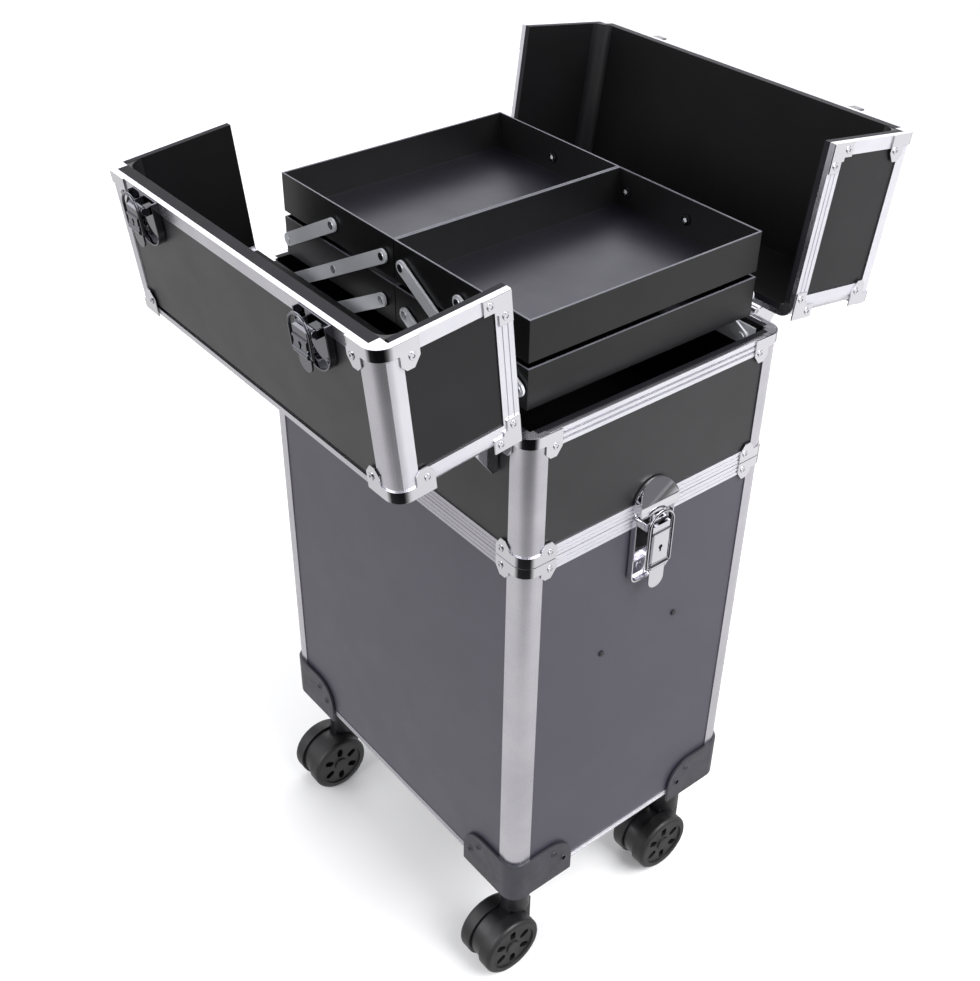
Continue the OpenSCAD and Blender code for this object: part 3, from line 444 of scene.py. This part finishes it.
for nodeName, node in nodes.items():
    node.data.materials.clear()
    node.data.materials.append(nodeFinish(nodeName))
print("materials set")


def selectOnly(piece):
    for other in bpy.context.selected_objects:
        other.select_set(False)
    bpy.context.view_layer.objects.active = piece
    piece.select_set(True)


def standFor(piece, name):
    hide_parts(name)
    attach(piece, nodes[name]["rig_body"])


rounding = {
    "weld": 0.01 * mm,  # points closer than this are one
    "flat": 1,  # degrees between faces that are one flat face
    "sharp": 38,  # degrees between faces whose edge is rounded
    "segments": 2,
    "shares": (1, 0.6, 0.35, 0.2),  # of the full width, tried in turn
    "stray": 1.2,  # of the width, how far a point may leave the surface
    "fold": 80e-6,  # m2 of a face that may fold over
}


def copyNode(name):
    # merged copy of a solid's mesh, its flat faces whole again
    piece = newObject(name + "Trim", nodes[name].data.copy())
    selectOnly(piece)
    bpy.ops.mesh.customdata_custom_splitnormals_clear()
    bpy.ops.object.mode_set(mode="EDIT")
    bpy.ops.mesh.select_all(action="SELECT")
    bpy.ops.mesh.remove_doubles(threshold=rounding["weld"])
    bpy.ops.mesh.dissolve_limited(angle_limit=math.radians(rounding["flat"]))
    bpy.ops.object.mode_set(mode="OBJECT")
    return piece


def foldedArea(mesh):
    # how much the triangles of a face cover beyond its own area, where its outline crosses itself
    covered = [-face.area for face in mesh.polygons]
    mesh.calc_loop_triangles()
    for triangle in mesh.loop_triangles:
        covered[triangle.polygon_index] += triangle.area
    return max(covered)


def bevelled(mesh, width, segments):
    # a copy of the mesh with its sharp edges rounded
    piece = newObject("trial", mesh.copy())
    selectOnly(piece)
    edges = piece.modifiers.new("edges", "BEVEL")
    edges.width = width * mm
    edges.segments = segments
    edges.limit_method = "ANGLE"
    edges.angle_limit = math.radians(rounding["sharp"])
    edges.use_clamp_overlap = False
    edges.miter_outer = "MITER_ARC"
    bpy.ops.object.modifier_apply(modifier="edges")
    result = piece.data
    bpy.data.objects.remove(piece)
    return result


def roundEdges(piece, width, segments=rounding["segments"]):
    # the widest rounding that folds no face and throws no point off the surface, or none
    skin = BVHTree.FromPolygons([v.co for v in piece.data.vertices],
                                [f.vertices for f in piece.data.polygons])
    for share in rounding["shares"]:
        mesh = bevelled(piece.data, width * share, segments)
        stray = max(skin.find_nearest(v.co)[3] for v in mesh.vertices)
        if stray < width * share * rounding["stray"] * mm and foldedArea(mesh) < rounding["fold"]:
            piece.data = mesh
            break
    else:
        share = 0
    if share < 1:
        print(piece.name, "edges at", share, "of their width")
    selectOnly(piece)
    bpy.ops.object.shade_smooth_by_angle(angle=math.radians(rounding["sharp"]))
    weighted = piece.modifiers.new("weighted", "WEIGHTED_NORMAL")
    weighted.keep_sharp = True
    bpy.ops.object.modifier_apply(modifier="weighted")


# edge radius of the hardware, trays and casters, in mm
edgeRadius = {
    "lower_corner_brackets": 0.35, "upper_corner_brackets": 0.35, "front_lid_brackets": 0.35,
    "rear_lid_brackets": 0.35, "caster_mounts": 0.8, "side_latch_bases": 0.3,
    "side_latch_catches": 0.3, "lid_latch_bases": 0.3, "lid_latch_catches": 0.3,
    "lower_split_frame": 0.3, "upper_split_frame": 0.3, "rim_frame": 0.8, "base_frame": 0.4,
    "front_lid_frame": 0.5, "rear_lid_frame": 0.5, "lid_hinge_brackets": 0.25,
    "carry_handle_mounts": 0.4, "pull_handle_guides": 0.5, "pull_handle": 1.2,
    "tray_pivot_plates": 0.25,
}
for side in ("left", "right"):
    for latch in ("side_latch_lever", "lid_latch_lever"):
        edgeRadius[side + "_" + latch] = 0.3
    for arm in ("long_arms", "lower_arms", "upper_arms"):
        edgeRadius[side + "_" + arm] = 0.3
    for tray in ("middle_tray", "top_tray"):
        edgeRadius[side + "_" + tray] = 0.45
    for end in ("front", "rear"):
        edgeRadius[end + "_" + side + "_caster"] = 0.6
        edgeRadius[end + "_" + side + "_wheels"] = 0.5


def paintFaces(piece, finish, test):
    # test takes a face's centre and normal
    piece.data.materials.append(finishes[finish])
    slot = len(piece.data.materials) - 1
    for face in piece.data.polygons:
        if test(face.center, face.normal):
            face.material_index = slot


def insetFaces(piece, finish, rim, test):
    # a smaller face of another finish inside each face that passes the test
    piece.data.materials.append(finishes[finish])
    slot = len(piece.data.materials) - 1
    for part in (piece.data.vertices, piece.data.edges, piece.data.polygons):
        part.foreach_set("select", [False] * len(part))
    for face in piece.data.polygons:
        face.select = test(face.center, face.normal)
    selectOnly(piece)
    bpy.ops.object.mode_set(mode="EDIT")
    bpy.ops.mesh.select_mode(type="FACE")
    bpy.ops.mesh.inset(thickness=rim, use_individual=True)
    bpy.ops.object.mode_set(mode="OBJECT")
    for face in piece.data.polygons:
        if face.select:
            face.material_index = slot


trayFinish = {
    "floor": 3 * mm,  # the floor lies within this of the tray's bottom
    "rim": 1 * mm,  # and the rim, painted grey as a highlight, within this of its top
    "rimFacing": 0.2,  # least Z of a rim face's normal
}


def finishTray(piece, low, high):
    # floors take the bluish painted sheen
    paintFaces(piece, "trayFloor", lambda c, n: (
        n.z > square and c.z < low.z + trayFinish["floor"]))
    # rim tops take the painted highlight
    paintFaces(piece, "trayRim", lambda c, n: (
        c.z > high.z - trayFinish["rim"] and n.z > trayFinish["rimFacing"]))


rivet = {
    "lift": 0.25 * mm,  # how far its head stands proud of a strap
    "head": 1.1 * mm,  # and inside a tray
    "ring": 1.4 * mm,  # width of the ring of painted shade
}


def finishArms(piece, low, high):
    # rivet heads stand proud of the straps, and inside the trays each is a bright core
    # ringed with painted shade at its rolled edge
    for sign, edge in ((1, high.y), (-1, low.y)):
        paintFaces(piece, "pinSteel", lambda c, n: sign * (edge - c.y) < rivet["lift"])
    inner = min(abs(v.co.y) for v in piece.data.vertices)
    # painted shade round each rivet head inside the trays
    paintFaces(piece, "keyDark", lambda c, n: abs(c.y) < inner + rivet["head"])
    insetFaces(piece, "strapSteel", rivet["ring"], lambda c, n: (
        n.y * c.y < 0 and abs(n.y) > square and abs(c.y) < inner + rivet["lift"]))


keyhole = {
    "down": 21.9 * mm,  # from the lever's top to the keyhole's middle
    "half": 2.3 * mm,  # half its width
    "below": 4.6 * mm,  # reach of its slot below the middle
    "depth": 1.4 * mm,  # under the lock's face
}


def finishLever(piece, low, high):
    # the keyhole's floor and walls, painted near black as the shade inside the keyhole
    middle = high.z - keyhole["down"]
    face = max(abs(low.x), abs(high.x)) - keyhole["depth"]
    paintFaces(piece, "keyDark", lambda c, n: (
        abs(c.y) < keyhole["half"] and middle - keyhole["below"] < c.z < middle + keyhole["half"]
        and abs(c.x) < face))


for nodeName, radius in edgeRadius.items():
    softPiece = copyNode(nodeName)
    roundEdges(softPiece, radius)
    standFor(softPiece, nodeName)
    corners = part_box(nodeName)
    if nodeName.endswith("_tray"):
        finishTray(softPiece, *corners)
    elif nodeName.endswith("_frame"):
        # end faces of the strips take the lighter copy, painted light
        paintFaces(softPiece, "endStrip", lambda c, n: abs(n.x) > square)
    elif nodeName.endswith("_arms"):
        finishArms(softPiece, *corners)
    elif nodeName.endswith("side_latch_lever"):
        finishLever(softPiece, *corners)
print("edges rounded")

board = {
    "edge": 0.35,  # mm, rounding of its edges
    "topBand": 0.5 * mm,  # height of a wall's bare edge
    "rimBand": 2 * mm,  # width of a lid's bare edge
    "level": 0.5,  # a wall's face with more Z in its normal is level, with less it is upright
    "rimFacing": 0.7,  # how much of its normal a lid's bare edge turns to the seam
}


def boardFaces(name, rules):
    # each face takes the first finish whose test of its centre and normal holds
    piece = copyNode(name)
    piece.data.materials.clear()
    for finish, test in rules:
        piece.data.materials.append(finishes[finish])
    for face in piece.data.polygons:
        face.material_index = next(
            i for i, (finish, test) in enumerate(rules) if test(face.center, face.normal))
    roundEdges(piece, board["edge"])
    standFor(piece, name)
    return piece


def always(c, n):
    return True


def wallBoards(name, outer, top):
    # laminate outside, lining inside and a bare edge at the top
    boardFaces(name, [
        ("boardEdge", lambda c, n: n.z > board["level"] and c.z > top - board["topBand"]),
        ("liningBoard", lambda c, n: abs(n.z) < board["level"] and n.x * c.x + n.y * c.y < 0),
        (outer, always)])


cove = {
    "radius": 12 * mm,
    "steps": 10,
    "sunk": 0.3 * mm,  # into the boards behind it
    "smooth": 30,  # degrees
}


def coveSection(x, z):
    # outline of one cove, its corner at x, z and its hollow toward the lid's inside
    sunk, radius = cove["sunk"], cove["radius"]
    arc = [math.radians(90 * i / cove["steps"]) for i in range(cove["steps"] + 1)]
    bend = [(x - radius * (1 - math.cos(a)), z - radius * (1 - math.sin(a))) for a in arc]
    return [(x + sunk, z + sunk), (x + sunk, z - radius), *bend, (x - radius, z + sunk)]


def lidCoves(name, body, boards, turn, hinge):
    # bent lining in the two corners between a lid's top and its end walls
    points = [turn @ (v.co - hinge) for v in boards.vertices]
    faces = [(turn @ (f.center - hinge), turn @ f.normal, f) for f in boards.polygons]
    top = max((f for f in faces if f[1].z < -square), key=lambda f: f[2].area)
    end = max((f for f in faces if f[1].x * f[0].x < 0 and abs(f[1].x) > square),
              key=lambda f: f[2].area)
    along = [points[v].y for v in top[2].vertices]
    section = coveSection(abs(end[0].x), top[0].z)
    back = turn.inverted()
    spots = [back @ Vector((way * x, min(along), z)) + hinge for way in (-1, 1)
             for x, z in section[::way]]
    count = len(section)
    mesh = bpy.data.meshes.new(name)
    mesh.from_pydata(spots, [], [tuple(range(count)), tuple(range(count, 2 * count))])
    piece = newObject(name, mesh)
    run = piece.modifiers.new("run", "SOLIDIFY")
    run.thickness = max(along) - min(along)
    run.offset = 1
    selectOnly(piece)
    bpy.ops.object.modifier_apply(modifier="run")
    bpy.ops.object.shade_smooth_by_angle(angle=math.radians(cove["smooth"]))
    mesh.materials.append(finishes["liningCove"])
    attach(piece, body)


lids = {
    "front": {"outward": -1, "depth": 119 * mm},  # outward: the side of Y on which it hangs
    "rear": {"outward": 1, "depth": 140 * mm},
    "height": 100 * mm,
}


def lidAngle(end):
    # how far a lid stands open, from its joint's range, in radians
    joint = next(j for j in record["behaviour"]["joints"] if j["name"] == end + "_lid_hinge")
    return math.radians(-min(joint["range_deg"]))


def lidBoards(end, hinge):
    # faces are judged in the closed lid, with its hinge at the origin
    name = end + "_lid_panels"
    outward, depth = lids[end]["outward"], lids[end]["depth"]
    turn = Matrix.Rotation(outward * lidAngle(end), 3, "X")
    middle = Vector((0, -outward * depth / 2, lids["height"] / 2))

    def inward(c, n):
        return (turn @ n).dot(middle - turn @ (c - hinge)) > 0

    def bare(c, n):
        c, n = turn @ (c - hinge), turn @ n
        far = -outward * n.y > board["rimFacing"] and -outward * c.y > depth - board["rimBand"]
        return far or (n.z < -board["rimFacing"] and c.z < board["rimBand"])

    piece = boardFaces(name, [
        ("boardEdge", bare), ("liningBoard", inward),
        # end walls take the darker copy, painted shade
        ("lidEndLaminate", lambda c, n: abs(n.x) > square), ("upperLaminate", always)])
    lidCoves(end + "LidCoves", nodes[name]["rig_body"], piece.data, turn, hinge)


for level, outer in (("lower", "lowerLaminate"), ("upper", "upperLaminate")):
    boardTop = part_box(level + "_long_panels")[1].z
    wallBoards(level + "_long_panels", outer, boardTop)
    wallBoards(level + "_end_panels", outer, boardTop)
pinLow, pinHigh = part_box("lid_hinge_pins")
pinZ = (pinLow.z + pinHigh.z) / 2
pinRadius = (pinHigh.z - pinLow.z) / 2
lidBoards("front", Vector((0, pinLow.y + pinRadius, pinZ)))
lidBoards("rear", Vector((0, pinHigh.y - pinRadius, pinZ)))
print("boards lined")

# two black screw heads on the lower case's right end
screw = {
    "radius": 2.6 * mm, "height": 1.5 * mm, "sunk": 0.3 * mm, "y": 40 * mm, "z": 356.5 * mm,
    "sides": 28, "edge": 0.7, "segments": 3,
}


def makeScrews():
    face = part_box("lower_end_panels")[1].x
    piece = newObject("endScrews", bpy.data.meshes.new("endScrews"))
    selectOnly(piece)
    bpy.ops.object.mode_set(mode="EDIT")
    for way in (-1, 1):
        bpy.ops.mesh.primitive_cylinder_add(
            vertices=screw["sides"], radius=screw["radius"], depth=screw["height"] + screw["sunk"],
            location=(face + (screw["height"] - screw["sunk"]) / 2, way * screw["y"], screw["z"]),
            rotation=(0, math.pi / 2, 0))
    bpy.ops.object.mode_set(mode="OBJECT")
    roundEdges(piece, screw["edge"], screw["segments"])
    piece.data.materials.append(finishes["casterPlastic"])
    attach(piece, "lower_case")


makeScrews()
print("screws made")
